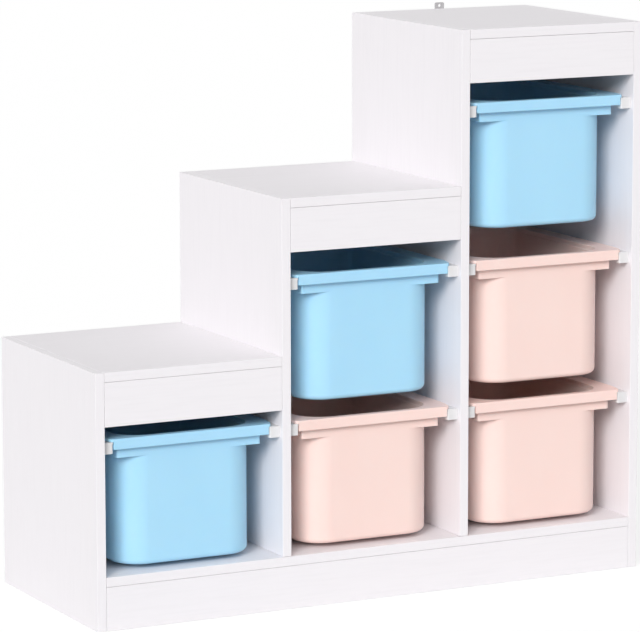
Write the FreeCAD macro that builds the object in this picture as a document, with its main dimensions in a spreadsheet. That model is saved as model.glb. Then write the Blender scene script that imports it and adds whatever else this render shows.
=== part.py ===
import FreeCAD, Part
import functools
import math
import os

import Sketcher

# Stepped toy storage cabinet: three columns of one, two and three pull-out bins.
# Millimetres. +X runs along the front from the low column to the high one, +Y from the front to
# the back, +Z up. The origin lies on the floor under the middle of the bounding box.

# Sizes that are set by themselves.
SIZES = (
    # laminated boards
    ("board", 16, "thickness of every laminated board"),
    ("plinth_height", 72, "height of the plinths under the bottom board"),
    ("rail_height", 72, "height of the front rail under each top"),
    ("back_thickness", 3, "hardboard back panels"),
    ("back_inset", 8, "back panel in front of the boards' rear edges"),
    ("groove_depth", 5, "depth of the grooves that hold the back panels"),
    ("groove_clearance", 0.2, "play between a groove's wall and what slides into it"),
    # moulded bin
    ("bin_height", 212, "underside to top of the rim"),
    ("bin_wall", 2.5, "moulded wall"),
    ("body_width", 240, "across the bin's body"),
    ("body_length", 336, "front to back of the bin's body"),
    ("body_corner", 50, "radius of the body's upright corners"),
    ("bottom_rounding", 20, "radius that the bevel round the bottom stands for"),
    ("plate_thickness", 4.5, "flat rim plate"),
    ("plate_corner", 6, "bevel at the rim plate's corners"),
    ("ledge_overlap", 10.5, "how far the rim plate lies on a runner"),
    ("lip_reach", 16.5, "lip end outside the body's side"),
    ("lip_overhang", 11, "lip face ahead of the body's front"),
    ("lip_height", 17, "lip, rim plate included"),
    ("band_step", 6.5, "squared band outside the body's side"),
    ("band_drop", 33, "lower edge of the squared band below the rim's top"),
    ("band_corner", 3, "bevel at the squared band's corners"),
    # runner
    ("runner_width", 18, "runner's reach from the board"),
    ("runner_height", 18.5, "runner's nose, top to bottom"),
    ("runner_wall", 3, "ledge and web of the runner"),
    ("runner_nose", 12, "solid block at the runner's front"),
    ("runner_bevel", 1.5, "bevel round the nose's inner front edge"),
    ("runner_tail", 2, "runner's end behind the bin's rim"),
    ("tongue_height", 8, "tongue on the runner's back"),
    ("tongue_depth", 4, "tongue's reach into the board"),
    ("tongue_setback", 10, "tongue's start behind the runner's front"),
    # room round the bins
    ("front_recess", 10, "bins and runners behind the boards' front edges"),
    ("bin_rear_gap", 9, "bin to back panel"),
    ("lip_clearance", 1.5, "lip end to runner"),
    ("seat_gap", 0.3, "rim plate above its runner"),
    ("floor_gap", 8, "lowest bins above the bottom board"),
    ("row_gap_lower", 27, "second row's bins above the lowest rims"),
    ("row_gap_upper", 49, "third row's bin above the second rim"),
    ("headroom_low", 22, "rim to front rail, low column"),
    ("headroom_middle", 39, "rim to front rail, middle column"),
    ("headroom_high", 34, "rim to front rail, high column"),
    # fasteners
    ("bore_clearance", 0.1, "play round a fastener in its bore"),
    ("bore_roof", 5, "board left behind a blind bore"),
    ("bore_end_gap", 0.5, "bore deeper than its fastener"),
    ("cam_inset", 48, "cams from a board's front and rear edges"),
    ("cam_reach", 24, "cam's centre from the board's end"),
    ("cam_diameter", 15, "cam nut across its flats"),
    ("cam_roof", 4, "board left above a cam nut"),
    ("bolt_shank", 7, "cam bolt's shank"),
    ("bolt_thread", 5, "cam bolt's threaded end"),
    ("dowel_diameter", 8, "wooden dowels"),
    ("dowel_reach", 15, "dowel's length inside a rail or plinth"),
    ("dowel_edge", 18, "dowel's centre from the rail's edge"),
    ("screw_shank", 5, "screws that hold the dividers"),
    ("screw_head", 10, "their heads"),
    ("screw_head_height", 4, "their heads"),
    ("screw_bite", 34, "their length inside a divider"),
    # wall bracket
    ("bracket_width", 18, "steel strap"),
    ("bracket_thickness", 2, "steel strap"),
    ("bracket_rise", 10.5, "strap above the high top"),
    ("bracket_drop", 15, "strap below the high top's upper face"),
    ("bracket_corner", 2, "bevel at the strap's corners"),
    ("bracket_hole", 5, "hole for the wall screw"),
    ("bracket_hole_edge", 5.5, "its centre below the strap's upper end"),
    ("strap_screw_shank", 3.5, "screw that holds the strap"),
    ("strap_screw_head", 7, "its head"),
    ("strap_screw_head_height", 1.8, "its head"),
    ("strap_screw_bite", 22, "its length inside the high top"),
)

# Sizes that follow from them.
DERIVED = (
    ("lip_width", "body_width + 2 * lip_reach"),
    ("band_width", "body_width + 2 * band_step"),
    ("rim_length", "body_length + 2 * lip_overhang"),
    ("rim_width", "lip_width + 2 * (lip_clearance + ledge_overlap)"),
    ("outer_bevel", "bottom_rounding * (2 - sqrt(2))"),
    ("inner_bevel", "(bottom_rounding - bin_wall) * (2 - sqrt(2))"),
    ("bay_width", "lip_width + 2 * (lip_clearance + runner_width)"),
    ("pitch", "bay_width + board"),
    ("cabinet_width", "3 * pitch + board"),
    ("back_face", "front_recess + rim_length + bin_rear_gap"),
    ("cabinet_depth", "back_face + back_thickness + back_inset"),
    ("floor_level", "plinth_height + board"),
    ("rim_one", "floor_level + floor_gap + bin_height"),
    ("rim_two", "rim_one + row_gap_lower + bin_height"),
    ("rim_three", "rim_two + row_gap_upper + bin_height"),
    ("low_height", "rim_one + headroom_low + rail_height + board"),
    ("middle_height", "rim_two + headroom_middle + rail_height + board"),
    ("high_height", "rim_three + headroom_high + rail_height + board"),
    ("left_x", "-cabinet_width / 2"),
    ("total_depth", "cabinet_depth + bracket_thickness + strap_screw_head_height"),
    ("front_y", "-total_depth / 2"),
    ("runner_length", "rim_length + runner_tail"),
    ("runner_drop", "plate_thickness + seat_gap"),
)

# Columns from left to right: name, height of the top, and the names of the rows from below.
COLUMNS = (
    ("low", "low_height", ("",)),
    ("middle", "middle_height", ("lower_", "upper_")),
    ("high", "high_height", ("lower_", "middle_", "upper_")),
)
RIMS = ("rim_one", "rim_two", "rim_three")
UPRIGHTS = ("left_side_panel", "lower_divider", "upper_divider", "right_side_panel")

# Hidden fasteners and their bores are drawn eight-sided, to keep the many of them light.
FASTENER_SIDES = 8

# Turns that point a rod's length along an axis of the model.
AXES = {
    "+X": FreeCAD.Rotation(FreeCAD.Vector(0, 1, 0), 90),
    "-X": FreeCAD.Rotation(FreeCAD.Vector(0, 1, 0), -90),
    "+Y": FreeCAD.Rotation(FreeCAD.Vector(1, 0, 0), -90),
    "-Y": FreeCAD.Rotation(FreeCAD.Vector(1, 0, 0), 90),
    "+Z": FreeCAD.Rotation(),
}

doc = FreeCAD.newDocument("toy_storage_cabinet")
sheet = doc.addObject("Spreadsheet::Sheet", "Sizes")
PROBE_CELL = "E1"
subparts = []


# ---------------------------------------------------------------- sizes and formulas


def fill_sheet():
    """Write every size with its alias and note, then the sizes that follow from them."""
    row = 1
    for alias, value, note in SIZES:
        sheet.set(f"A{row}", note)
        sheet.set(f"B{row}", str(value))
        sheet.setAlias(f"B{row}", alias)
        row += 1
    for alias, text in DERIVED:
        sheet.set(f"B{row}", "=" + text)
        sheet.setAlias(f"B{row}", alias)
        row += 1
    doc.recompute()


@functools.cache
def number(text):
    """The value of a formula of sizes, as a plain number."""
    sheet.set(PROBE_CELL, "=" + text)
    sheet.recompute()
    return float(sheet.get(PROBE_CELL))


def formula(text):
    """The same formula as an object outside the sheet has to write it."""
    words = [entry[0] for entry in SIZES + DERIVED]
    pieces = text.replace("(", " ( ").replace(")", " ) ").replace("-", " - ").split()
    return " ".join("Sizes." + piece if piece in words else piece for piece in pieces)


def bind(thing, **properties):
    for name, text in properties.items():
        thing.setExpression(name, formula(text))


def place(thing, x, y, z):
    thing.setExpression("Placement.Base.x", formula(x))
    thing.setExpression("Placement.Base.y", formula(y))
    thing.setExpression("Placement.Base.z", formula(z))


def finish(thing, label):
    """Name a finished sub-part and put it on the list of pieces to write."""
    thing.Label = label
    subparts.append(thing)


# ---------------------------------------------------------------- boxes, rods and sketches


def box(name, x, y, z, length, width, height):
    thing = doc.addObject("Part::Box", name)
    bind(thing, Length=length, Width=width, Height=height)
    place(thing, x, y, z)
    return thing


def rod(name, axis, diameter, length, x, y, z):
    """A straight rod from a point along an axis, with flats facing the other two axes."""
    thing = doc.addObject("Part::Prism", name)
    thing.Polygon = FASTENER_SIDES
    spin = FreeCAD.Rotation(FreeCAD.Vector(0, 0, 1), 180 / FASTENER_SIDES)
    thing.Placement = FreeCAD.Placement(FreeCAD.Vector(), AXES[axis] * spin)
    half_angle = math.degrees(math.pi / FASTENER_SIDES)
    thing.setExpression("Circumradius", f"({formula(diameter)}) / 2 / cos({half_angle} deg)")
    bind(thing, Height=length)
    place(thing, x, y, z)
    return thing


def bore(name, axis, diameter, length, x, y, z):
    """The clearance bore of a rod: wider all round and deeper at its far end."""
    return rod(
        name, axis, f"{diameter} + 2 * bore_clearance", f"{length} + bore_end_gap", x, y, z
    )


def cut(label, base, tools):
    """Take bores and grooves out of a board."""
    gathered = doc.addObject("Part::Compound", label + "_cuts")
    gathered.Links = tools
    thing = doc.addObject("Part::Cut", label)
    thing.Base = base
    thing.Tool = gathered
    finish(thing, label)


def fused(label, solids):
    """Fasteners of one kind: rods that touch end to end become one screw or bolt."""
    thing = doc.addObject("Part::MultiFuse", label)
    thing.Shapes = solids
    finish(thing, label)


def sketch_on(body, name, role, offset):
    """An empty sketch on one of the body's own planes, moved along the plane's normal."""
    sketch = body.newObject("Sketcher::SketchObject", name)
    plane = [feature for feature in body.Origin.OriginFeatures if feature.Role == role][0]
    sketch.AttachmentSupport = [(plane, "")]
    sketch.MapMode = "FlatFace"
    sketch.setExpression("AttachmentOffset.Base.z", formula(offset))
    return sketch


def dimension(sketch, text, kind, *ends):
    """Add a dimension to a sketch and tie it to a formula of sizes."""
    index = sketch.addConstraint(Sketcher.Constraint(kind, *ends, number(text)))
    sketch.setExpression(f"Constraints[{index}]", formula(text))


def draw_polygon(sketch, corners):
    """A closed outline through corners whose coordinates are formulas of sizes."""
    points = [FreeCAD.Vector(number(x), number(y), 0) for x, y in corners]
    first = sketch.GeometryCount
    count = len(points)
    for index, point in enumerate(points):
        sketch.addGeometry(Part.LineSegment(point, points[(index + 1) % count]), False)
    for index in range(count):
        line = first + index
        after = first + (index + 1) % count
        sketch.addConstraint(Sketcher.Constraint("Coincident", line, 2, after, 1))
    for index, (x, y) in enumerate(corners):
        dimension(sketch, x, "DistanceX", -1, 1, first + index, 1)
        dimension(sketch, y, "DistanceY", -1, 1, first + index, 1)


def draw_beveled_rectangle(sketch, width, length, bevel):
    """A rectangle about the sketch's origin with its four corners cut off."""
    x = f"{width} / 2"
    y = f"{length} / 2"
    draw_polygon(
        sketch,
        (
            (f"-{x} + {bevel}", f"-{y}"),
            (f"{x} - {bevel}", f"-{y}"),
            (x, f"-{y} + {bevel}"),
            (x, f"{y} - {bevel}"),
            (f"{x} - {bevel}", y),
            (f"-{x} + {bevel}", y),
            (f"-{x}", f"{y} - {bevel}"),
            (f"-{x}", f"-{y} + {bevel}"),
        ),
    )


def draw_rounded_rectangle(sketch, width, length, radius):
    """A rectangle with round corners about the sketch's origin."""
    x = number(width) / 2
    y = number(length) / 2
    r = number(radius)
    quarter = math.pi / 2
    sides = (
        ((-x + r, -y), (x - r, -y)),
        ((x, -y + r), (x, y - r)),
        ((x - r, y), (-x + r, y)),
        ((-x, y - r), (-x, -y + r)),
    )
    centres = ((x - r, -y + r), (x - r, y - r), (-x + r, y - r), (-x + r, -y + r))
    for start, end in sides:
        sketch.addGeometry(
            Part.LineSegment(FreeCAD.Vector(*start, 0), FreeCAD.Vector(*end, 0)), False
        )
    for index, centre in enumerate(centres):
        circle = Part.Circle(FreeCAD.Vector(*centre, 0), FreeCAD.Vector(0, 0, 1), r)
        turn = (index - 1) * quarter
        sketch.addGeometry(Part.ArcOfCircle(circle, turn, turn + quarter), False)
    for index in range(4):
        arc = 4 + index
        after = (index + 1) % 4
        sketch.addConstraint(Sketcher.Constraint("Tangent", index, 2, arc, 1))
        sketch.addConstraint(Sketcher.Constraint("Tangent", arc, 2, after, 1))
    for kind, line in (("Horizontal", 0), ("Vertical", 1), ("Horizontal", 2), ("Vertical", 3)):
        sketch.addConstraint(Sketcher.Constraint(kind, line))
    for arc in (5, 6, 7):
        sketch.addConstraint(Sketcher.Constraint("Equal", 4, arc))
    sketch.addConstraint(Sketcher.Constraint("Symmetric", 4, 3, 6, 3, -1, 1))
    dimension(sketch, width, "DistanceX", 3, 2, 1, 1)
    dimension(sketch, length, "DistanceY", 0, 2, 2, 1)
    dimension(sketch, radius, "Radius", 4)


def pad(body, sketch, length, towards_back=False):
    """Give a sketch its thickness; towards_back pads a front-view sketch along +Y."""
    feature = body.newObject("PartDesign::Pad", sketch.Name + "_pad")
    feature.Profile = sketch
    feature.Reversed = towards_back
    bind(feature, Length=length)
    sketch.Visibility = False
    return feature


def loft(body, kind, name, sections):
    """A straight-sided loft through rounded rectangles: (height, width, length, radius)."""
    sketches = []
    for index, (height, width, length, radius) in enumerate(sections):
        sketch = sketch_on(body, f"{name}_section_{index}", "XY_Plane", height)
        draw_rounded_rectangle(sketch, width, length, radius)
        sketches.append(sketch)
    feature = body.newObject(kind, name)
    feature.Profile = sketches[0]
    feature.Sections = [(sketch, [""]) for sketch in sketches[1:]]
    feature.Ruled = True
    return feature


# ---------------------------------------------------------------- where things stand


def upright_x(index):
    """Left face of an upright board, counted from the left."""
    return f"left_x + {index} * pitch"


def bay_x(column):
    """Left side of a column's bay."""
    return f"left_x + {column} * pitch + board"


def cam_depths():
    """Front and rear lines of the cams and divider screws."""
    return ("front_y + cam_inset", "front_y + cabinet_depth - cam_inset")


def ends_of(column):
    """Both ends of what spans a bay: the uprights, the bay's faces, and the ways out of it."""
    return (
        (UPRIGHTS[column], bay_x(column), "-X", "+X", 1),
        (UPRIGHTS[column + 1], upright_x(column + 1), "+X", "-X", -1),
    )


# ---------------------------------------------------------------- cabinet


cuts = {name: [] for name in UPRIGHTS}
cam_bolts = []
cam_nuts = []
rail_dowels = []
plinth_dowels = []
divider_screws = []


def cam_joint(upright, board_cuts, face_x, into_upright, into_board, sign, y, z):
    """A cam bolt from an upright into a board's end, and the cam nut in the board's underside.

    z is the height of the board's lower face.
    """
    axis_z = f"{z} + board / 2"
    shank = "cam_reach - cam_diameter / 2"
    thread = "board - bore_roof - bore_end_gap"
    nut_x = f"{face_x} + {sign} * cam_reach"
    cuts[upright].append(bore("bolt_bore", into_upright, "bolt_thread", thread, face_x, y, axis_z))
    board_cuts.append(bore("shank_bore", into_board, "bolt_shank", shank, face_x, y, axis_z))
    board_cuts.append(bore("cam_bore", "+Z", "cam_diameter", "board - cam_roof", nut_x, y, z))
    cam_bolts.append(rod("bolt_thread", into_upright, "bolt_thread", thread, face_x, y, axis_z))
    cam_bolts.append(rod("bolt_shank", into_board, "bolt_shank", shank, face_x, y, axis_z))
    cam_nuts.append(rod("cam_nut", "+Z", "cam_diameter", "board - cam_roof", nut_x, y, z))


def dowel_joint(upright, board_cuts, dowels, face_x, into_upright, into_board, y, z):
    """A dowel across the seam between an upright and the end of a rail or plinth."""
    bite = "board - bore_roof - bore_end_gap"
    cuts[upright].append(bore("dowel_bore", into_upright, "dowel_diameter", bite, face_x, y, z))
    board_cuts.append(
        bore("dowel_bore", into_board, "dowel_diameter", "dowel_reach", face_x, y, z)
    )
    dowels.append(rod("dowel_half", into_upright, "dowel_diameter", bite, face_x, y, z))
    dowels.append(rod("dowel_half", into_board, "dowel_diameter", "dowel_reach", face_x, y, z))


def back_groove(name, x, z, length, height):
    """The room for a back panel's edge, with its play on both faces."""
    return box(
        name,
        x,
        "front_y + back_face - groove_clearance",
        z,
        length,
        "back_thickness + 2 * groove_clearance",
        height,
    )


def build_column(column):
    """The top, front rail and back panel of one column, and their seats in its uprights."""
    name, height, rows = COLUMNS[column]
    x = bay_x(column)
    top_z = f"{height} - board"
    rail_z = f"{height} - board - rail_height"
    top_cuts = []
    rail_cuts = []

    for upright, face_x, into_upright, into_board, sign in ends_of(column):
        for y in cam_depths():
            cam_joint(upright, top_cuts, face_x, into_upright, into_board, sign, y, top_z)
        for z in (f"{rail_z} + dowel_edge", f"{rail_z} + rail_height - dowel_edge"):
            middle_y = "front_y + board / 2"
            dowel_joint(
                upright, rail_cuts, rail_dowels, face_x, into_upright, into_board, middle_y, z
            )
        groove_x = face_x if sign < 0 else f"{face_x} - groove_depth"
        cuts[upright].append(
            back_groove(
                f"{name}_upright_groove",
                groove_x,
                "floor_level - groove_depth",
                "groove_depth",
                f"{height} - board - floor_level + 2 * groove_depth",
            )
        )

    top_cuts.append(back_groove(f"{name}_top_groove", x, top_z, "bay_width", "groove_depth"))
    if name == "high":
        top_cuts.append(
            bore(
                "strap_screw_bore",
                "-Y",
                "strap_screw_shank",
                "strap_screw_bite",
                f"{x} + bay_width / 2",
                "front_y + cabinet_depth",
                f"{top_z} + board / 2",
            )
        )
    slab = box(f"{name}_slab", x, "front_y", top_z, "bay_width", "cabinet_depth", "board")
    cut(f"{name}_top_panel", slab, top_cuts)
    slab = box(f"{name}_rail_slab", x, "front_y", rail_z, "bay_width", "board", "rail_height")
    cut(f"{name}_front_rail", slab, rail_cuts)
    panel = box(
        f"{name}_back_panel",
        f"{x} - groove_depth + groove_clearance",
        "front_y + back_face",
        "floor_level - groove_depth + groove_clearance",
        "bay_width + 2 * groove_depth - 2 * groove_clearance",
        "back_thickness",
        f"{height} - board - floor_level + 2 * groove_depth - 2 * groove_clearance",
    )
    finish(panel, f"{name}_back_panel")


def build_base():
    """The bottom board and the plinths that carry it between the outer side panels."""
    inner_x = "left_x + board"
    inner_width = "cabinet_width - 2 * board"
    outer_ends = (
        (UPRIGHTS[0], inner_x, "-X", "+X", 1),
        (UPRIGHTS[3], upright_x(3), "+X", "-X", -1),
    )
    board_cuts = []
    for upright, face_x, into_upright, into_board, sign in outer_ends:
        for y in cam_depths():
            cam_joint(
                upright, board_cuts, face_x, into_upright, into_board, sign, y, "plinth_height"
            )
    for index in (1, 2):
        middle_x = f"{upright_x(index)} + board / 2"
        for y in cam_depths():
            board_cuts.append(
                bore("screw_bore", "+Z", "screw_shank", "board", middle_x, y, "plinth_height")
            )
            board_cuts.append(
                bore(
                    "head_bore",
                    "+Z",
                    "screw_head",
                    "screw_head_height",
                    middle_x,
                    y,
                    "plinth_height",
                )
            )
            cuts[UPRIGHTS[index]].append(
                bore("screw_bore", "+Z", "screw_shank", "screw_bite", middle_x, y, "floor_level")
            )
            divider_screws.append(
                rod(
                    "screw_shank",
                    "+Z",
                    "screw_shank",
                    "board + screw_bite",
                    middle_x,
                    y,
                    "plinth_height",
                )
            )
            divider_screws.append(
                rod(
                    "screw_head",
                    "+Z",
                    "screw_head",
                    "screw_head_height",
                    middle_x,
                    y,
                    "plinth_height",
                )
            )
    board_cuts.append(
        back_groove(
            "floor_groove", inner_x, "floor_level - groove_depth", inner_width, "groove_depth"
        )
    )
    slab = box(
        "bottom_slab", inner_x, "front_y", "plinth_height", inner_width, "cabinet_depth", "board"
    )
    cut("bottom_panel", slab, board_cuts)

    for label, y in (
        ("front_plinth", "front_y"),
        ("rear_plinth", "front_y + cabinet_depth - board"),
    ):
        plinth_cuts = []
        for upright, face_x, into_upright, into_board, sign in outer_ends:
            dowel_joint(
                upright,
                plinth_cuts,
                plinth_dowels,
                face_x,
                into_upright,
                into_board,
                f"{y} + board / 2",
                "plinth_height / 2",
            )
        slab = box(label + "_slab", inner_x, y, "0", inner_width, "board", "plinth_height")
        cut(label, slab, plinth_cuts)


def runner_groove(upright, face_x, sign, z):
    """The stopped groove that holds a runner's tongue."""
    x = face_x if sign < 0 else f"{face_x} - tongue_depth - groove_clearance"
    cuts[upright].append(
        box(
            "runner_groove",
            x,
            "front_y + front_recess + tongue_setback - groove_clearance",
            f"{z} - (runner_height + tongue_height) / 2 - groove_clearance",
            "tongue_depth + groove_clearance",
            "runner_length - tongue_setback + 2 * groove_clearance",
            "tongue_height + 2 * groove_clearance",
        )
    )


def build_uprights():
    """The four upright boards, with every bore and groove that the columns asked for."""
    feet = ("0", "floor_level", "floor_level", "0")
    tops = ("low_height", "middle_height", "high_height", "high_height")
    for index, label in enumerate(UPRIGHTS):
        slab = box(
            label + "_slab",
            upright_x(index),
            "front_y",
            feet[index],
            "board",
            "cabinet_depth",
            f"{tops[index]} - {feet[index]}",
        )
        cut(label, slab, cuts[label])


# ---------------------------------------------------------------- runners


def build_runner(label, sign, x, z):
    """A moulded runner: ledge and web behind a solid nose, held by a tongue in the board.

    sign is 1 on a bay's left side and -1 on its right side. The body's origin lies on the
    board's face, at the runner's front and upper face.
    """
    body = doc.addObject("PartDesign::Body", label)

    def across(text):
        return text if sign > 0 else f"-({text})"

    angle = sketch_on(body, "angle_outline", "XZ_Plane", "0")
    draw_polygon(
        angle,
        (
            ("0", "0"),
            (across("runner_width"), "0"),
            (across("runner_width"), "-runner_wall"),
            (across("runner_wall"), "-runner_wall"),
            (across("runner_wall"), "-runner_height"),
            ("0", "-runner_height"),
        ),
    )
    pad(body, angle, "runner_length", towards_back=True)

    nose = sketch_on(body, "nose_outline", "XY_Plane", "-runner_height")
    draw_polygon(
        nose,
        (
            ("0", "0"),
            (across("runner_width - runner_bevel"), "0"),
            (across("runner_width"), "runner_bevel"),
            (across("runner_width"), "runner_nose"),
            ("0", "runner_nose"),
        ),
    )
    pad(body, nose, "runner_height")

    tongue = sketch_on(body, "tongue_outline", "XZ_Plane", "-tongue_setback")
    tongue_top = "-(runner_height - tongue_height) / 2"
    tongue_foot = "-(runner_height + tongue_height) / 2"
    draw_polygon(
        tongue,
        (
            ("0", tongue_foot),
            ("0", tongue_top),
            (across("-tongue_depth"), tongue_top),
            (across("-tongue_depth"), tongue_foot),
        ),
    )
    pad(body, tongue, "runner_length - tongue_setback", towards_back=True)
    place(body, x, "front_y + front_recess", z)
    finish(body, label)


# ---------------------------------------------------------------- bins


def build_bin(label, x, z):
    """A moulded bin: round-cornered body, squared band, overhanging lips and a flat rim plate.

    The body's origin lies under the middle of the bin, at its underside.
    """
    body = doc.addObject("PartDesign::Body", label)
    loft(
        body,
        "PartDesign::AdditiveLoft",
        "outer_form",
        (
            (
                "0",
                "body_width - 2 * outer_bevel",
                "body_length - 2 * outer_bevel",
                "body_corner - outer_bevel",
            ),
            ("outer_bevel", "body_width", "body_length", "body_corner"),
            ("bin_height", "body_width", "body_length", "body_corner"),
        ),
    )

    band = sketch_on(body, "band_outline", "XY_Plane", "bin_height - band_drop")
    draw_beveled_rectangle(band, "band_width", "body_length", "band_corner")
    draw_polygon(
        band,
        (
            ("-band_width / 2 + bin_wall", "-body_length / 2 + bin_wall"),
            ("band_width / 2 - bin_wall", "-body_length / 2 + bin_wall"),
            ("band_width / 2 - bin_wall", "body_length / 2 - bin_wall"),
            ("-band_width / 2 + bin_wall", "body_length / 2 - bin_wall"),
        ),
    )
    pad(body, band, "band_drop")

    plate = sketch_on(body, "plate_outline", "XY_Plane", "bin_height - plate_thickness")
    draw_beveled_rectangle(plate, "rim_width", "rim_length", "plate_corner")
    pad(body, plate, "plate_thickness")

    lips = sketch_on(body, "lip_outline", "XY_Plane", "bin_height - lip_height")
    for end in ("-", ""):
        face = f"{end}(rim_length / 2)"
        inside = f"{end}(rim_length / 2 - bin_wall)"
        root = f"{end}(body_length / 2)"
        draw_polygon(
            lips,
            (
                ("-lip_width / 2", face),
                ("lip_width / 2", face),
                ("lip_width / 2", root),
                ("lip_width / 2 - bin_wall", root),
                ("lip_width / 2 - bin_wall", inside),
                ("-lip_width / 2 + bin_wall", inside),
                ("-lip_width / 2 + bin_wall", root),
                ("-lip_width / 2", root),
            ),
        )
    pad(body, lips, "lip_height - plate_thickness")

    loft(
        body,
        "PartDesign::SubtractiveLoft",
        "inner_form",
        (
            (
                "bin_wall",
                "body_width - 2 * bin_wall - 2 * inner_bevel",
                "body_length - 2 * bin_wall - 2 * inner_bevel",
                "body_corner - bin_wall - inner_bevel",
            ),
            (
                "bin_wall + inner_bevel",
                "body_width - 2 * bin_wall",
                "body_length - 2 * bin_wall",
                "body_corner - bin_wall",
            ),
            (
                "bin_height + bin_wall",
                "body_width - 2 * bin_wall",
                "body_length - 2 * bin_wall",
                "body_corner - bin_wall",
            ),
        ),
    )
    place(body, x, "front_y + front_recess + rim_length / 2", z)
    finish(body, label)


# ---------------------------------------------------------------- wall bracket


def build_bracket():
    """A steel strap behind the high top: one screw holds it, and one hole takes the wall screw."""
    middle_x = f"{bay_x(2)} + bay_width / 2"
    back_y = "front_y + cabinet_depth"
    level = "high_height - board / 2"
    strap = doc.addObject("PartDesign::Body", "strap")
    outline = sketch_on(strap, "strap_outline", "XZ_Plane", "0")
    draw_beveled_rectangle(
        outline, "bracket_width", "(bracket_rise + bracket_drop)", "bracket_corner"
    )
    pad(strap, outline, "bracket_thickness", towards_back=True)
    place(strap, middle_x, back_y, "high_height + (bracket_rise - bracket_drop) / 2")

    wall_hole = doc.addObject("Part::Cylinder", "wall_hole")
    bind(wall_hole, Radius="bracket_hole / 2", Height="bracket_thickness")
    wall_hole.Placement = FreeCAD.Placement(FreeCAD.Vector(), AXES["+Y"])
    place(wall_hole, middle_x, back_y, "high_height + bracket_rise - bracket_hole_edge")
    screw_hole = bore(
        "screw_hole", "+Y", "strap_screw_shank", "bracket_thickness", middle_x, back_y, level
    )
    cut("wall_bracket", strap, [wall_hole, screw_hole])

    head_y = f"{back_y} + bracket_thickness"
    shank = rod(
        "strap_screw_shank",
        "-Y",
        "strap_screw_shank",
        "strap_screw_bite + bracket_thickness",
        middle_x,
        head_y,
        level,
    )
    head = rod(
        "strap_screw_head",
        "+Y",
        "strap_screw_head",
        "strap_screw_head_height",
        middle_x,
        head_y,
        level,
    )
    fused("bracket_screw", [shank, head])


# ---------------------------------------------------------------- assembly


fill_sheet()
build_base()
for column, (column_name, column_height, rows) in enumerate(COLUMNS):
    build_column(column)
    for row, row_name in enumerate(rows):
        runner_z = f"{RIMS[row]} - runner_drop"
        for hand, (upright, face_x, into_upright, into_board, sign) in zip(
            ("left", "right"), ends_of(column)
        ):
            runner_groove(upright, face_x, sign, runner_z)
            build_runner(f"{column_name}_{row_name}{hand}_runner", sign, face_x, runner_z)
        build_bin(
            f"{column_name}_{row_name}bin",
            f"{bay_x(column)} + bay_width / 2",
            f"{RIMS[row]} - bin_height",
        )
build_uprights()
fused("cam_bolts", cam_bolts)
cam_nut_group = doc.addObject("Part::Compound", "cam_nuts")
cam_nut_group.Links = cam_nuts
finish(cam_nut_group, "cam_nuts")
fused("rail_dowels", rail_dowels)
fused("plinth_dowels", plinth_dowels)
fused("divider_screws", divider_screws)
build_bracket()
sheet.clear(PROBE_CELL)
doc.recompute()

for thing in doc.Objects:
    if "Invalid" in thing.State or "Error" in thing.State:
        raise RuntimeError(f"{thing.Name} ({thing.Label}) did not build: {thing.State}")
for thing in subparts:
    if thing.Shape.isNull() or not thing.Shape.isValid():
        raise RuntimeError(f"{thing.Label} has no valid shape")

os.makedirs("parts", exist_ok=True)
for thing in subparts:
    thing.Shape.exportStep(f"parts/{thing.Label}.step")
    print(f"{thing.Label}: {len(thing.Shape.Solids)} solid(s), {thing.Shape.Volume / 1000:.1f} cm3")
print(f"{len(subparts)} sub-parts")
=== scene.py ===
# %% [markdown]
# # A stepped toy storage cabinet with pull-out bins
#
# This lesson dresses a finished construction model. The model gives every board, runner and bin
# its true size and place, and it stays as it is. It is loaded first. Each step looks at one kind
# of piece or finish on the real cabinet, names the ways to make it, and says why one of them was
# chosen.

# %% Load the construction model
from math import copysign, cos, radians, sin

import bmesh
import bpy
from mathutils import Matrix, Vector


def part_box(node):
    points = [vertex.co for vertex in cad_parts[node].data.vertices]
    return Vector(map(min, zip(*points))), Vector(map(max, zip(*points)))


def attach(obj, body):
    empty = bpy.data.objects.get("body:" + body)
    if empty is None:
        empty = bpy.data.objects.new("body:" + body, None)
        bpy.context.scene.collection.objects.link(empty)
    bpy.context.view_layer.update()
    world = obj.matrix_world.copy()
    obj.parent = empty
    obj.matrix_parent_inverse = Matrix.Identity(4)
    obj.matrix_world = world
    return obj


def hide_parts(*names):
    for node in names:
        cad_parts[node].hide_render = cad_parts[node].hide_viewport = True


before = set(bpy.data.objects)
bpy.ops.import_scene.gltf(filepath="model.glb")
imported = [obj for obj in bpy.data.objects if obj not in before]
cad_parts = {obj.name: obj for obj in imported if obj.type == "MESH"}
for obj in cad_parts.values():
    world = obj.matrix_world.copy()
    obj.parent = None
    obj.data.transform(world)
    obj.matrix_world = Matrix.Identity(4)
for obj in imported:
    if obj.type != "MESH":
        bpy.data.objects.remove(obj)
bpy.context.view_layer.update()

MM = 0.001
CABINET = "cabinet"

# %% [markdown]
# ## Finishes
#
# A finish is a small chain of nodes. A noise pattern that is stretched along one axis reads as
# wood grain, and the same noise, left even, reads as the fine skin of moulded plastic. All
# patterns read Object coordinates: the pieces stay at the origin, so one unit is one metre and
# the pattern keeps its size on every board. Numbers that are the same all over a surface sit
# on the shader itself.

# %% Helpers for finishes


def new_finish(name, roughness, metallic=0.0, specular=0.5):
    """A material with its nodes, its links and its main shader."""
    material = bpy.data.materials.new(name)
    material.use_nodes = True
    nodes = material.node_tree.nodes
    shader = nodes["Principled BSDF"]
    shader.inputs["Roughness"].default_value = roughness
    shader.inputs["Metallic"].default_value = metallic
    shader.inputs["Specular IOR Level"].default_value = specular
    return material, nodes, material.node_tree.links, shader


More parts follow.
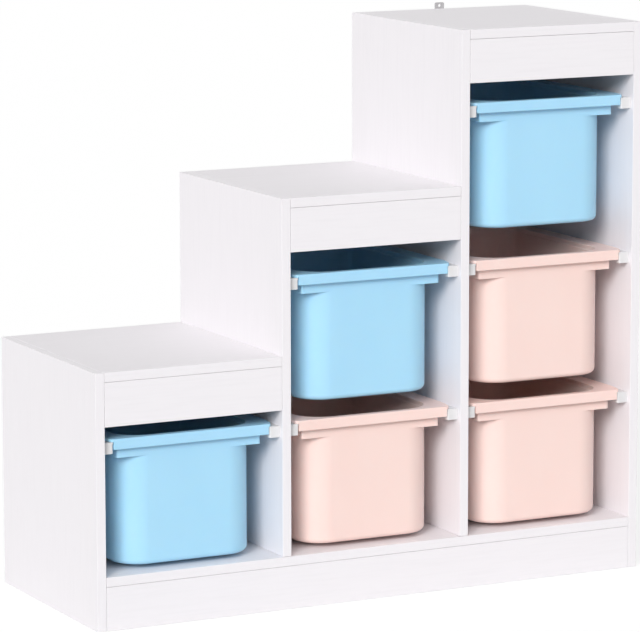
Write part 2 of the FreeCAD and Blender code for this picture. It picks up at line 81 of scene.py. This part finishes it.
def object_noise(nodes, links, per_metre, stretch=(1, 1, 1), detail=4, offset=0.0):
    """Noise on Object coordinates; a small stretch number draws it out along that axis."""
    place = nodes.new("ShaderNodeTexCoord")
    mapping = nodes.new("ShaderNodeMapping")
    mapping.inputs["Scale"].default_value = stretch
    mapping.inputs["Location"].default_value = (offset, offset, offset)
    noise = nodes.new("ShaderNodeTexNoise")
    noise.inputs["Scale"].default_value = per_metre
    noise.inputs["Detail"].default_value = detail
    links.new(place.outputs["Object"], mapping.inputs["Vector"])
    links.new(mapping.outputs["Vector"], noise.inputs["Vector"])
    return noise.outputs["Fac"]


def tint(nodes, links, shader, pattern, dark, light, between):
    """Colour the surface by a pattern, from dark to light between two of its values."""
    ramp = nodes.new("ShaderNodeValToRGB")
    for element, colour, value in zip(ramp.color_ramp.elements, (dark, light), between):
        element.position = value
        element.color = (*colour, 1.0)
    links.new(pattern, ramp.inputs["Fac"])
    links.new(ramp.outputs["Color"], shader.inputs["Base Color"])


def emboss(nodes, links, shader, pattern, depth, strength):
    """Raise the surface by a pattern, on top of the relief that it has; depth is in mm."""
    bump = nodes.new("ShaderNodeBump")
    bump.inputs["Distance"].default_value = depth * MM
    bump.inputs["Strength"].default_value = strength
    links.new(pattern, bump.inputs["Height"])
    normal = shader.inputs["Normal"]
    if normal.is_linked:
        links.new(normal.links[0].from_socket, bump.inputs["Normal"])
    links.new(bump.outputs["Normal"], normal)


# %% [markdown]
# ### White laminate with an embossed grain
#
# The boards are chipboard under a white foil. The foil is pressed with a faint grain that
# follows each board's length: across on the rails, plinths and tops, upright on the side
# panels. An image of wood would repeat and blur up close, so two stretched noises do it: broad
# soft bands for the tone, and fine lines for the emboss.

# %% Laminate finish
LAMINATE_LIGHT = (0.895, 0.87, 0.895)
LAMINATE_DARK = (0.878, 0.853, 0.878)
GRAIN_STRETCH = {"X": (0.05, 1, 1), "Z": (1, 1, 0.05)}
BANDS_PER_METRE = 240
LINES_PER_METRE = 900
BAND_DEPTH = 0.12
LINE_DEPTH = 0.06


def laminate(name, along, offset=0.0):
    """Foil with its grain along an axis; another offset shows another part of the foil."""
    material, nodes, links, shader = new_finish(name, roughness=0.55, specular=0.2)
    stretch = GRAIN_STRETCH[along]
    bands = object_noise(nodes, links, BANDS_PER_METRE, stretch, detail=3, offset=offset)
    lines = object_noise(nodes, links, LINES_PER_METRE, stretch, detail=2, offset=offset)
    tint(nodes, links, shader, bands, LAMINATE_DARK, LAMINATE_LIGHT, between=(0.28, 0.55))
    emboss(nodes, links, shader, lines, LINE_DEPTH, strength=0.4)
    emboss(nodes, links, shader, bands, BAND_DEPTH, strength=0.3)
    return material


laminate_upright = laminate("laminate_upright_grain", "Z")
laminate_across = laminate("laminate_cross_grain", "X", offset=0.37)
laminate_rail = laminate("laminate_rail_grain", "X", offset=1.13)
print("laminates:", laminate_upright.name, laminate_across.name, laminate_rail.name)

# %% [markdown]
# ### White hardboard
#
# The back panels are thin hardboard, lacquered white on the side that faces the bins. The
# lacquer is duller than the foil and shows short fibres rather than a grain. So the fine noise
# is left even in all directions, and a very broad one clouds the tone.

# %% Hardboard finish
HARDBOARD_LIGHT = (0.84, 0.83, 0.84)
HARDBOARD_DARK = (0.8, 0.79, 0.8)
FIBRES_PER_METRE = 700
CLOUDS_PER_METRE = 9
FIBRE_DEPTH = 0.2

hardboard, nodes, links, shader = new_finish("white_hardboard", roughness=0.6, specular=0.25)
fibres = object_noise(nodes, links, FIBRES_PER_METRE, detail=6)
clouds = object_noise(nodes, links, CLOUDS_PER_METRE, detail=3)
tint(nodes, links, shader, clouds, HARDBOARD_DARK, HARDBOARD_LIGHT, between=(0.3, 0.7))
emboss(nodes, links, shader, fibres, FIBRE_DEPTH, strength=0.4)
print("back panels:", hardboard.name)

# %% [markdown]
# ### Moulded plastic
#
# The bins come out of a mould whose walls are lightly blasted, so the skin is satin with a
# very fine pebble. The colour drifts a little with the flow of the plastic. The walls are thin
# and let a little light through, which a shallow subsurface glow gives without the cost of
# real transmission. The runners are of the same kind in white, and solid enough not to glow.

# %% Plastic finishes
FLOW_STRETCH = (1, 1, 0.5)
FLOW_PER_METRE = 11
PEBBLES_PER_METRE = 1400
PEBBLE_DEPTH = 0.08
GLOW_DEPTH = 4.0


def moulded_plastic(name, deep, pale, roughness, glow=0.0):
    """Satin plastic whose colour drifts between two tones; glow is the subsurface share."""
    material, nodes, links, shader = new_finish(name, roughness, specular=0.4)
    shader.inputs["Subsurface Weight"].default_value = glow
    shader.inputs["Subsurface Radius"].default_value = deep
    shader.inputs["Subsurface Scale"].default_value = GLOW_DEPTH * MM
    flow = object_noise(nodes, links, FLOW_PER_METRE, FLOW_STRETCH, detail=2)
    skin = object_noise(nodes, links, PEBBLES_PER_METRE, detail=2)
    tint(nodes, links, shader, flow, deep, pale, between=(0.3, 0.7))
    emboss(nodes, links, shader, skin, PEBBLE_DEPTH, strength=0.35)
    return material


blue_plastic = moulded_plastic(
    "blue_bin_plastic", deep=(0.42, 0.735, 0.98), pale=(0.435, 0.755, 1.0), roughness=0.4, glow=0.25
)
pink_plastic = moulded_plastic(
    "pink_bin_plastic", deep=(0.99, 0.73, 0.675), pale=(1.0, 0.75, 0.695), roughness=0.4, glow=0.25
)
runner_plastic = moulded_plastic(
    "white_runner_plastic", deep=(0.74, 0.735, 0.74), pale=(0.79, 0.785, 0.79), roughness=0.45
)
print("plastics:", blue_plastic.name, pink_plastic.name, runner_plastic.name)

# %% [markdown]
# ### Zinc-plated steel and beech
#
# The strap, the screws and the cams are zinc plated: a grey metal with soft cloudy spangles.
# The dowels are bare beech, with short dark flecks along the grain. Both come from the same
# noise, even on the metal and drawn out along the dowels.

# %% Metal and dowel finishes
SPANGLES_PER_METRE = 260
SPANGLE_DEPTH = 0.05
BEECH_LIGHT = (0.72, 0.54, 0.35)
BEECH_DARK = (0.55, 0.38, 0.22)
FLECKS_PER_METRE = 300
FLECK_STRETCH = (0.1, 1, 1)
FLECK_DEPTH = 0.1


def zinc(name, dark, light, roughness):
    """Bare metal with spangles that differ a little in tone and height."""
    material, nodes, links, shader = new_finish(name, roughness, metallic=1.0)
    spangles = object_noise(nodes, links, SPANGLES_PER_METRE, detail=3)
    tint(nodes, links, shader, spangles, dark, light, between=(0.35, 0.65))
    emboss(nodes, links, shader, spangles, SPANGLE_DEPTH, strength=0.4)
    return material


strap_steel = zinc("strap_zinc", (0.56, 0.55, 0.56), (0.68, 0.67, 0.68), roughness=0.45)
fastener_zinc = zinc("fastener_zinc", (0.45, 0.45, 0.46), (0.62, 0.62, 0.63), roughness=0.35)

beech, nodes, links, shader = new_finish("beech_dowel", roughness=0.6, specular=0.3)
flecks = object_noise(nodes, links, FLECKS_PER_METRE, FLECK_STRETCH)
tint(nodes, links, shader, flecks, BEECH_DARK, BEECH_LIGHT, between=(0.35, 0.6))
emboss(nodes, links, shader, flecks, FLECK_DEPTH, strength=0.4)
print("metals and wood:", strap_steel.name, fastener_zinc.name, beech.name)

# %% [markdown]
# ## From a solid to a rounded copy
#
# Boards, runners and hardware already have their true shape in the construction model, but as
# loose triangles with knife-sharp edges. Modelling them again would only risk their sizes, so a
# piece starts as a copy of its solid, with its triangles joined, and gets its edges rounded.

# %% Copy and round
SHARP_TURN = radians(30)
FLAT_TURN = radians(0.5)
SAME_POINT = 0.01


def merged_copy(node):
    """The node's mesh with its loose triangles joined and its flat faces made whole."""
    bm = bmesh.new()
    bm.from_mesh(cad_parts[node].data)
    bmesh.ops.remove_doubles(bm, verts=bm.verts, dist=SAME_POINT * MM)
    bmesh.ops.dissolve_limit(
        bm, angle_limit=FLAT_TURN, verts=bm.verts, edges=bm.edges, delimit={"NORMAL"}
    )
    return bm


def sharp_edges(bm):
    return [e for e in bm.edges if e.is_manifold and e.calc_face_angle() > SHARP_TURN]


def round_edges(bm, edges, radius, segments=2, clamp_overlap=True):
    """Bevel some edges; the radius is in millimetres."""
    bmesh.ops.bevel(
        bm,
        geom=edges,
        offset=radius * MM,
        offset_type="OFFSET",
        segments=segments,
        profile=0.5,
        affect="EDGES",
        material=-1,
        clamp_overlap=clamp_overlap,
    )


# %% [markdown]
# ## From bmesh to a finished piece
#
# Every new piece ends the same way: its mesh is turned into an object at the origin, gets its
# material and smooth shading that stops at sharp edges, rides on its body, and takes the place
# of the plain solid that it stands for. Smooth shading alone would bend the light across whole
# boards. Weighted normals let a large flat face keep its own direction, so that only the small
# roundings beside it bend the light.

# %% Finish a piece
SMOOTH_LIMIT = radians(32)


def finish_piece(bm, node, ending, material, body=CABINET):
    """Make the mesh an object that rides on a body and replaces the node's plain solid."""
    mesh = bpy.data.meshes.new(node + ending)
    bm.to_mesh(mesh)
    bm.free()
    mesh.materials.append(material)
    mesh.shade_smooth()
    mesh.set_sharp_from_angle(angle=SMOOTH_LIMIT)
    piece = bpy.data.objects.new(node + ending, mesh)
    bpy.context.scene.collection.objects.link(piece)
    flats = piece.modifiers.new("flat_faces_stay_flat", "WEIGHTED_NORMAL")
    flats.keep_sharp = True
    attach(piece, body)
    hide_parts(node)
    return piece


# %% [markdown]
# ## Boards with eased edges
#
# A sawn board has no perfectly sharp edge: the foil is folded over or the edge strip is
# trimmed with a tiny bevel. That bevel catches the light, and where two boards meet the two
# bevels and a hair of play between the boards make the fine grey seam. A new box would lose
# the bores and grooves, so a copy of each board keeps them, only the edges of its outer block
# are bevelled, and the whole board is scaled a hair smaller about its middle.

# %% Ease the boards' outer edges
EDGE_EASE = 0.6
JOINT_PLAY = 0.22
ON_FACE = 0.02


def near(value, level):
    """Whether two measures in millimetres are the same for a maker."""
    return abs(value - level) < ON_FACE


def outer_block_edges(bm, low, high):
    """The edges that lie on two outer faces of the block at once."""
    found = []
    for edge in bm.edges:
        shared = 0
        for axis in range(3):
            for level in (low[axis], high[axis]):
                shared += all(near(v.co[axis] / MM, level / MM) for v in edge.verts)
        if shared == 2:
            found.append(edge)
    return found


def eased_board(node, material):
    bm = merged_copy(node)
    low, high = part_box(node)
    edges = outer_block_edges(bm, low, high)
    round_edges(bm, edges, EDGE_EASE, clamp_overlap=False)
    size, middle = high - low, (high + low) / 2
    shrink = Vector([1 - 2 * JOINT_PLAY * MM / side for side in size])
    bmesh.ops.scale(bm, vec=shrink, space=Matrix.Translation(-middle), verts=bm.verts)
    return finish_piece(bm, node, "_board", material)


boards = []
for upright in ("left_side_panel", "lower_divider", "upper_divider", "right_side_panel"):
    boards.append(eased_board(upright, laminate_upright))
for column in ("low", "middle", "high"):
    boards.append(eased_board(f"{column}_top_panel", laminate_across))
    boards.append(eased_board(f"{column}_front_rail", laminate_rail))
    boards.append(eased_board(f"{column}_back_panel", hardboard))
boards.append(eased_board("bottom_panel", laminate_across))
boards.append(eased_board("front_plinth", laminate_rail))
boards.append(eased_board("rear_plinth", laminate_rail))
print("boards eased by", EDGE_EASE, "mm:", len(boards))

# %% [markdown]
# ## Runners
#
# The moulded runners show only their front blocks, whose edges are softly rounded. They are
# straight and plain otherwise, so a copy of each runner is enough, bevelled along every edge
# that turns sharply.

# %% Round the runners' edges
RUNNER_ROUND = 0.8

runners = [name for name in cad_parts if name.endswith("_runner")]
for runner in runners:
    bm = merged_copy(runner)
    round_edges(bm, sharp_edges(bm), RUNNER_ROUND, segments=3)
    finish_piece(bm, runner, "_moulding", runner_plastic)
print("runners:", len(runners))

# %% [markdown]
# ## Moulded bins
#
# A bin is one thin moulding: a tub with round corners and a rounded bottom, a flat rim that
# rests on the runners, a lip that hangs down at the front and the rear, and a squared skirt
# under the rim. Spinning a profile would make it round, and a box with bevels can't have a
# corner that changes on the way up. A loft suits it: one closed outline is pulled from section
# to section. The outline comes first, a rectangle whose corners are rounded by a bevel.

# %% An outline with round corners
CORNER_STEPS = 12


def outline(bm, half_x, half_y, corner_x, corner_y, z):
    """The edges of a rectangle with round corners, about the middle, at a height (mm).

    The corners are rounded as circles on a sheet in which a corner is one unit each way, and
    the sheet is then stretched to its size, so that a corner can be longer than it is wide.
    """
    sheet = bmesh.ops.create_grid(bm, x_segments=1, y_segments=1, size=1.0)
    corners = sheet["verts"]
    bmesh.ops.scale(bm, vec=(half_x / corner_x, half_y / corner_y, 1.0), verts=corners)
    rounded = bmesh.ops.bevel(
        bm,
        geom=corners,
        offset=1.0,
        offset_type="OFFSET",
        segments=CORNER_STEPS,
        profile=0.5,
        affect="VERTICES",
        material=-1,
        clamp_overlap=False,
    )
    face = rounded["verts"][0].link_faces[0]
    edges = list(face.edges)
    bmesh.ops.scale(bm, vec=(corner_x * MM, corner_y * MM, 1.0), verts=face.verts)
    bmesh.ops.translate(bm, vec=(0, 0, z * MM), verts=face.verts)
    bmesh.ops.delete(bm, geom=[face], context="FACES_ONLY")
    return edges


# %% [markdown]
# The loft pulls that outline from the middle of the floor inside, up the inner wall, over the
# rim and down outside to the underside, and gives it the next section's size at each step. Its
# points keep their partners, so no face can twist. Bridging separate outlines would have to
# guess the partners where a corner changes its shape.

# %% A loft through sections


def carried(place, old, new):
    """The point of the new outline that matches a corner point of the old one.

    An outline is given as (half x, half y, corner x, corner y, height), as in outline().
    """
    flat = []
    for axis in (0, 1):
        straight, corner = old[axis] - old[axis + 2], old[axis + 2]
        along = (abs(place[axis]) / MM - straight) / corner
        reach = new[axis] - new[axis + 2] * (1 - along)
        flat.append(copysign(reach * MM, place[axis]))
    return (*flat, new[-1] * MM)


def loft(bm, sections):
    """Pull one outline through all sections, given as in outline(), and close both ends."""
    first = ring = outline(bm, *sections[0])
    for old, new in zip(sections, sections[1:]):
        pulled = bmesh.ops.extrude_edge_only(bm, edges=ring)["geom"]
        verts = {part for part in pulled if isinstance(part, bmesh.types.BMVert)}
        for vert in verts:
            vert.co = carried(vert.co, old, new)
        edges = [part for part in pulled if isinstance(part, bmesh.types.BMEdge)]
        ring = [edge for edge in edges if verts.issuperset(edge.verts)]
    for end in (first, ring):
        bmesh.ops.contextual_create(bm, geom=end)


# %% [markdown]
# The bin's sizes are in millimetres, halved where they lie on both sides of the middle. The
# body, the rim plate and the skirt are outlines of their own, each with its own corners.

# %% The bin's sizes
BIN_HEIGHT = 212.0
WALL = 2.5
BODY = (120.0, 168.0)
BODY_CORNER = (50.0, 50.0)
FLOOR_ROUND = 8.5
FLOOR_STEPS = 7
PLATE = (148.5, 179.0)
PLATE_CORNER = (12.0, 46.0)
PLATE_THICKNESS = 4.5
PLATE_ROUND = 1.0
SKIRT = (126.5, 168.0)
SKIRT_CORNER = (3.0, 3.0)
SKIRT_FOOT = 179.0
RIM_ROUND = 1.4
RIM_STEPS = 4
STEP_DEPTH = 7.5
STEP_WIDTH = 0.9
print("bin:", 2 * PLATE[0], "x", 2 * PLATE[1], "x", BIN_HEIGHT, "mm, wall", WALL, "mm")

# %% [markdown]
# The sections follow from the sizes. A rounding is a few outlines that step inwards and upwards
# together, at the angles of a quarter circle, which is smoother than one bevel and keeps the
# wall's thickness. Where the loft goes from one outline to another at one height, a flat ledge
# lies between them, as under the rim plate.

# %% The bin's sections


def inset(size, corner, amount, z):
    """An outline moved inwards by an amount, with the corners that this leaves."""
    return (size[0] - amount, size[1] - amount, corner[0] - amount, corner[1] - amount, z)


def quarter(steps):
    """Angles of a quarter turn, from 0 to 90 degrees."""
    return [radians(90) * step / steps for step in range(steps + 1)]


sections = []
inner_round = FLOOR_ROUND - WALL
for angle in quarter(FLOOR_STEPS):
    amount = WALL + inner_round * (1 - sin(angle))
    sections.append(inset(BODY, BODY_CORNER, amount, FLOOR_ROUND - inner_round * cos(angle)))

step_z = BIN_HEIGHT - STEP_DEPTH
above_step = WALL - STEP_WIDTH
sections.append(inset(BODY, BODY_CORNER, WALL, step_z - STEP_WIDTH))
sections.append(inset(BODY, BODY_CORNER, above_step, step_z))

for angle in quarter(RIM_STEPS):
    amount = above_step - RIM_ROUND * (1 - cos(angle))
    sections.append(inset(BODY, BODY_CORNER, amount, BIN_HEIGHT - RIM_ROUND * (1 - sin(angle))))
for angle in quarter(RIM_STEPS):
    amount = PLATE_ROUND * (1 - sin(angle))
    sections.append(inset(PLATE, PLATE_CORNER, amount, BIN_HEIGHT - PLATE_ROUND * (1 - cos(angle))))

plate_foot = BIN_HEIGHT - PLATE_THICKNESS
sections.append(inset(PLATE, PLATE_CORNER, 0, plate_foot))
sections.append(inset(SKIRT, SKIRT_CORNER, 0, plate_foot))
sections.append(inset(SKIRT, SKIRT_CORNER, 0, SKIRT_FOOT))
sections.append(inset(BODY, BODY_CORNER, 0, SKIRT_FOOT))

for angle in reversed(quarter(FLOOR_STEPS)):
    amount = FLOOR_ROUND * (1 - sin(angle))
    sections.append(inset(BODY, BODY_CORNER, amount, FLOOR_ROUND * (1 - cos(angle))))
print("sections in a bin:", len(sections))

# %% [markdown]
# The lips and the hollow inside the skirt don't go all the way round, so the loft can't make
# them. A boolean could, but it leaves slivers where faces lie flush. Instead flat faces are cut
# along straight lines, and a patch of them is pushed up or down.

# %% Cut and push flat faces
WELD = 0.005
SLIVER = 0.001


def flat_faces(bm, z):
    return [face for face in bm.faces if all(near(v.co.z / MM, z) for v in face.verts)]


def once_each(groups):
    """All parts of some groups, in their order and without repeats."""
    return list(dict.fromkeys(part for group in groups for part in group))


def cut_across(bm, faces, axis, at):
    """Cut some faces along the plane where the axis (0 for X, 1 for Y) has a value in mm."""
    normal = Vector((axis == 0, axis == 1, 0))
    geom = faces + once_each(face.edges for face in faces) + once_each(face.verts for face in faces)
    bmesh.ops.bisect_plane(
        bm, geom=geom, dist=SLIVER * MM, plane_co=normal * at * MM, plane_no=normal
    )


def cut_flat(bm, z, at_x, at_y):
    """Cut the flat faces at a height along lines on both sides of the middle."""
    for side in (-1, 1):
        for x in at_x:
            cut_across(bm, flat_faces(bm, z), 0, side * x)
        for y in at_y:
            cut_across(bm, flat_faces(bm, z), 1, side * y)


def push(bm, faces, rise):
    """Move a patch of a surface up or down and close the gap round it with walls."""
    geom = faces + once_each(face.edges for face in faces)
    pushed = bmesh.ops.extrude_face_region(bm, geom=geom)
    moved = [part for part in pushed["geom"] if isinstance(part, bmesh.types.BMVert)]
    bmesh.ops.translate(bm, vec=(0, 0, rise * MM), verts=moved)


# %% [markdown]
# The lips grow out of the rim's underside: its flat strip is cut along the lip's outline, and
# the cut-out faces are pulled down. So lip and rim share one front face, with no seam.

# %% Lips
LIP_HALF = 136.5
LIP_DROP = 12.5
LIP_EDGE = 0.5


def pull_down_lips(bm):
    """The front and rear lips, each with two short ends that reach back to the body."""
    cut_flat(bm, plate_foot, (LIP_HALF, LIP_HALF - WALL), (PLATE[1] - WALL, BODY[1]))
    strip = []
    for face in flat_faces(bm, plate_foot):
        middle = face.calc_center_median() / MM
        x, y = abs(middle.x), abs(middle.y)
        along_front = PLATE[1] - WALL < y and x < LIP_HALF
        at_the_end = BODY[1] < y and LIP_HALF - WALL < x < LIP_HALF
        if along_front or at_the_end:
            strip.append(face)
    push(bm, strip, -LIP_DROP)


# %% [markdown]
# The skirt is hollowed the other way round: the flat ledge that the loft left between the skirt
# and the round corners is cut along the skirt's inner faces, and what lies inside is pushed up
# to the rim. Its front is flush with the body's, so both are first given one common edge.

# %% Skirt


def hollow_skirt(bm):
    """Open the skirt underneath, up to the rim's underside."""
    inner_x, inner_y = SKIRT[0] - WALL, SKIRT[1] - WALL
    cut_flat(bm, SKIRT_FOOT, (inner_x,), (inner_y,))
    hollow = []
    for face in flat_faces(bm, SKIRT_FOOT):
        middle = face.calc_center_median() / MM
        if abs(middle.x) < inner_x and abs(middle.y) < inner_y:
            hollow.append(face)
    push(bm, hollow, plate_foot - SKIRT_FOOT)


def join_flush_faces(bm):
    """The skirt's front and rear faces are flush with the body's, so they share an edge there."""
    for end in (-1, 1):
        for side in (-1, 1):
            front = [f for f in bm.faces if all(near(v.co.y / MM, end * BODY[1]) for v in f.verts)]
            cut_across(bm, front, 0, side * (BODY[0] - BODY_CORNER[0]))
    bmesh.ops.remove_doubles(bm, verts=bm.verts, dist=WELD * MM)
    bmesh.ops.dissolve_degenerate(bm, dist=SLIVER * MM, edges=bm.edges)


# %% [markdown]
# The steps together give one closed mesh. Its volume is that of the plastic, and an edge that
# belongs to one face only would be a gap, so both are printed as a test.

# %% The whole bin


def bin_mesh():
    bm = bmesh.new()
    loft(bm, sections)
    join_flush_faces(bm)
    pull_down_lips(bm)
    hollow_skirt(bm)
    bmesh.ops.remove_doubles(bm, verts=bm.verts, dist=WELD * MM)
    bmesh.ops.recalc_face_normals(bm, faces=bm.faces)
    lip_foot = plate_foot - LIP_DROP
    rims = [e for e in sharp_edges(bm) if all(near(v.co.z / MM, lip_foot) for v in e.verts)]
    round_edges(bm, rims, LIP_EDGE)
    return bm


tub = bin_mesh()
gaps = sum(not edge.is_manifold for edge in tub.edges)
print("faces:", len(tub.faces), "plastic cm3:", round(tub.calc_volume() * 1e6), "gaps:", gaps)

# %% [markdown]
# All six bins come from one mould, so one mesh serves them all: each copy is moved to the
# middle of its own solid and rides on that bin's body, which slides out to the front.

# %% Place the bins
BINS = {
    "low_bin": "blue",
    "middle_lower_bin": "pink",
    "middle_upper_bin": "blue",
    "high_lower_bin": "pink",
    "high_middle_bin": "pink",
    "high_upper_bin": "blue",
}
PLASTICS = {"blue": blue_plastic, "pink": pink_plastic}

for node, colour in BINS.items():
    low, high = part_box(node)
    bm = tub.copy()
    middle = ((low[0] + high[0]) / 2, (low[1] + high[1]) / 2, low[2])
    bmesh.ops.translate(bm, vec=middle, verts=bm.verts)
    finish_piece(bm, node, "_moulding", PLASTICS[colour], node + "_body")
tub.free()
print("bins:", ", ".join(f"{node} {colour}" for node, colour in BINS.items()))

# %% [markdown]
# ## Fasteners and strap
#
# Little of the hardware shows. What does is the strap behind the high top, with its screw. The
# strap is stamped and the screw's head is pressed, so their edges are slightly rounded: copies
# of the solids are bevelled as the runners are.

# %% Round the strap and its screw
HARDWARE_ROUND = 0.3
HARDWARE = (
    ("wall_bracket", strap_steel, "strap_steel"),
    ("bracket_screw", fastener_zinc, "zinc_steel"),
)
for node, material, slot in HARDWARE:
    bm = merged_copy(node)
    round_edges(bm, sharp_edges(bm), HARDWARE_ROUND)
    piece = finish_piece(bm, node, "_rounded", material)
    print(piece.name, "faces:", len(piece.data.polygons))

# %% [markdown]
# The cams, the screws up into the dividers and the dowels sit inside the boards or under the
# bottom board. New meshes would show nothing that the plain solids don't, so these are carried
# over as they are and only get their finish.

# %% Finishes of the carried-over solids
CARRIED = {
    "cam_bolts": fastener_zinc,
    "cam_nuts": fastener_zinc,
    "divider_screws": fastener_zinc,
    "rail_dowels": beech,
    "plinth_dowels": beech,
}
for node, material in CARRIED.items():
    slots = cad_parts[node].data.materials
    slots.clear()
    slots.append(material)
print("carried over:", ", ".join(CARRIED))

# %% [markdown]
# ## Floor
#
# The cabinet stands on plain white. A brighter lamp would bleach the cabinet too, so the floor
# is white to the camera and in reflections only, and the light on the object comes from a grey
# floor, a soft sky and one soft lamp. The floor that the camera sees keeps a little of its own
# shading, so that the shadow still shows under the plinth.

# %% One face for the camera, another for the light


def show_to_camera(nodes, links, output, shown, light):
    """Show one shader to the camera and in reflections, and light the object by another."""
    rays = nodes.new("ShaderNodeLightPath")
    seen = nodes.new("ShaderNodeMath")
    seen.operation = "MAXIMUM"
    links.new(rays.outputs["Is Camera Ray"], seen.inputs[0])
    links.new(rays.outputs["Is Glossy Ray"], seen.inputs[1])
    choice = nodes.new("ShaderNodeMixShader")
    links.new(seen.outputs["Value"], choice.inputs["Fac"])
    links.new(light.outputs[0], choice.inputs[1])
    links.new(shown.outputs[0], choice.inputs[2])
    links.new(choice.outputs["Shader"], output.inputs["Surface"])


# %% Floor
# FLOOR_LIT is how bright a white floor is in this light, away from the shadow. The camera sees
# a share of it, FLOOR_OWN_SHADE, and a glow that makes up the rest to white.
FLOOR_SIZE = 60.0
FLOOR_GREY = 0.78
FLOOR_OWN_SHADE = 0.35
FLOOR_LIT = 0.82


def matte(nodes, grey):
    shader = nodes.new("ShaderNodeBsdfDiffuse")
    shader.inputs["Color"].default_value = (grey, grey, grey, 1)
    return shader


floor_bm = bmesh.new()
bmesh.ops.create_grid(floor_bm, x_segments=1, y_segments=1, size=FLOOR_SIZE / 2)
floor_mesh = bpy.data.meshes.new("studio_floor")
floor_bm.to_mesh(floor_mesh)
floor_bm.free()
floor = bpy.data.objects.new("studio_floor", floor_mesh)
bpy.context.scene.collection.objects.link(floor)

floor_material = bpy.data.materials.new("studio_floor")
floor_material.use_nodes = True
nodes, links = floor_material.node_tree.nodes, floor_material.node_tree.links
nodes.clear()
glow = nodes.new("ShaderNodeEmission")
glow.inputs["Color"].default_value = (1, 1, 1, 1)
glow.inputs["Strength"].default_value = 1.0 - FLOOR_OWN_SHADE * FLOOR_LIT
bright = nodes.new("ShaderNodeAddShader")
links.new(matte(nodes, FLOOR_OWN_SHADE).outputs["BSDF"], bright.inputs[0])
links.new(glow.outputs["Emission"], bright.inputs[1])
output = nodes.new("ShaderNodeOutputMaterial")
show_to_camera(nodes, links, output, shown=bright, light=matte(nodes, FLOOR_GREY))
floor_mesh.materials.append(floor_material)
print("floor:", FLOOR_SIZE, "m wide")

# %% [markdown]
# ## Sky
#
# The room's light is soft, and stronger from above than from the sides, as under a large
# ceiling panel. So the world's strength rises with the direction's height, from the horizon to
# straight up, and no lamp is needed for it. The camera sees the world only from near the
# floor, beyond the floor's edge, where it is an even pale grey.

# %% World
HORIZON_LIGHT = 0.46
ZENITH_LIGHT = 0.76
WORLD_GREY = 0.8


def background(nodes):
    shader = nodes.new("ShaderNodeBackground")
    shader.inputs["Color"].default_value = (WORLD_GREY, WORLD_GREY, WORLD_GREY, 1)
    shader.inputs["Strength"].default_value = 1.0
    return shader


world = bpy.data.worlds.new("studio_world")
bpy.context.scene.world = world
world.use_nodes = True
nodes, links = world.node_tree.nodes, world.node_tree.links
nodes.clear()
direction = nodes.new("ShaderNodeTexCoord")
split = nodes.new("ShaderNodeSeparateXYZ")
links.new(direction.outputs["Generated"], split.inputs["Vector"])
level = nodes.new("ShaderNodeMapRange")
level.inputs["To Min"].default_value = HORIZON_LIGHT
level.inputs["To Max"].default_value = ZENITH_LIGHT
links.new(split.outputs["Z"], level.inputs["Value"])
sky = background(nodes)
links.new(level.outputs["Result"], sky.inputs["Strength"])
output = nodes.new("ShaderNodeOutputWorld")
show_to_camera(nodes, links, output, shown=background(nodes), light=sky)
print("sky strength:", HORIZON_LIGHT, "to", ZENITH_LIGHT)

# %% [markdown]
# ## Key lamp
#
# One large soft source at the front left gives each bin its bright left shoulder and throws the
# shadow of the left panel into the bay. A sun with a wide angle does that evenly over all three
# columns, where an area lamp nearby would light the low column more than the high one.

# %% Lamp
KEY_AZIMUTH = radians(-44)
KEY_ELEVATION = radians(25)
KEY_SOFTNESS = radians(24)
KEY_STRENGTH = 2.15
KEY_DISTANCE = 3.0


def direction_from(azimuth, elevation):
    """The way towards a light or a camera; azimuth 0 is in front, -90 degrees on the left."""
    flat = cos(elevation)
    return Vector((sin(azimuth) * flat, -cos(azimuth) * flat, sin(elevation)))


key_data = bpy.data.lights.new("key_lamp", "SUN")
key_data.energy = KEY_STRENGTH
key_data.angle = KEY_SOFTNESS
key_lamp = bpy.data.objects.new("key_lamp", key_data)
bpy.context.scene.collection.objects.link(key_lamp)
towards_key = direction_from(KEY_AZIMUTH, KEY_ELEVATION)
key_lamp.location = KEY_DISTANCE * towards_key
key_lamp.rotation_euler = towards_key.to_track_quat("Z", "Y").to_euler()
print("key lamp from:", [round(value, 2) for value in towards_key])

# %% [markdown]
# ## Camera
#
# The camera is the one that took the photograph: its place, direction and focal length come
# from fitting the cabinet's corners to it. A long lens from far away keeps the uprights nearly
# parallel, so guessing these numbers by eye would never bring the edges together.

# %% Camera
IMAGE_WIDTH = 640
FOCAL_PIXELS = 3759.76
SENSOR = 36.0
AZIMUTH = radians(-27.033)
ELEVATION = radians(9.420)
ROLL = radians(0.091)
CAMERA_PLACE = (-2821.561, -5522.240, 1471.365)
FARTHEST_SEEN = 200.0

camera_data = bpy.data.cameras.new("photo_camera")
camera_data.sensor_width = SENSOR
camera_data.sensor_fit = "HORIZONTAL"
camera_data.lens = FOCAL_PIXELS * SENSOR / IMAGE_WIDTH
camera_data.clip_end = FARTHEST_SEEN
camera = bpy.data.objects.new("photo_camera", camera_data)
bpy.context.scene.collection.objects.link(camera)
aim = direction_from(AZIMUTH, ELEVATION).to_track_quat("Z", "Y").to_matrix()
turned = (aim @ Matrix.Rotation(-ROLL, 3, "Z")).to_4x4()
camera.matrix_world = Matrix.Translation(Vector(CAMERA_PLACE) * MM) @ turned
bpy.context.scene.camera = camera
bpy.context.scene.view_settings.view_transform = "Standard"
print("lens:", round(camera_data.lens, 2), "mm")
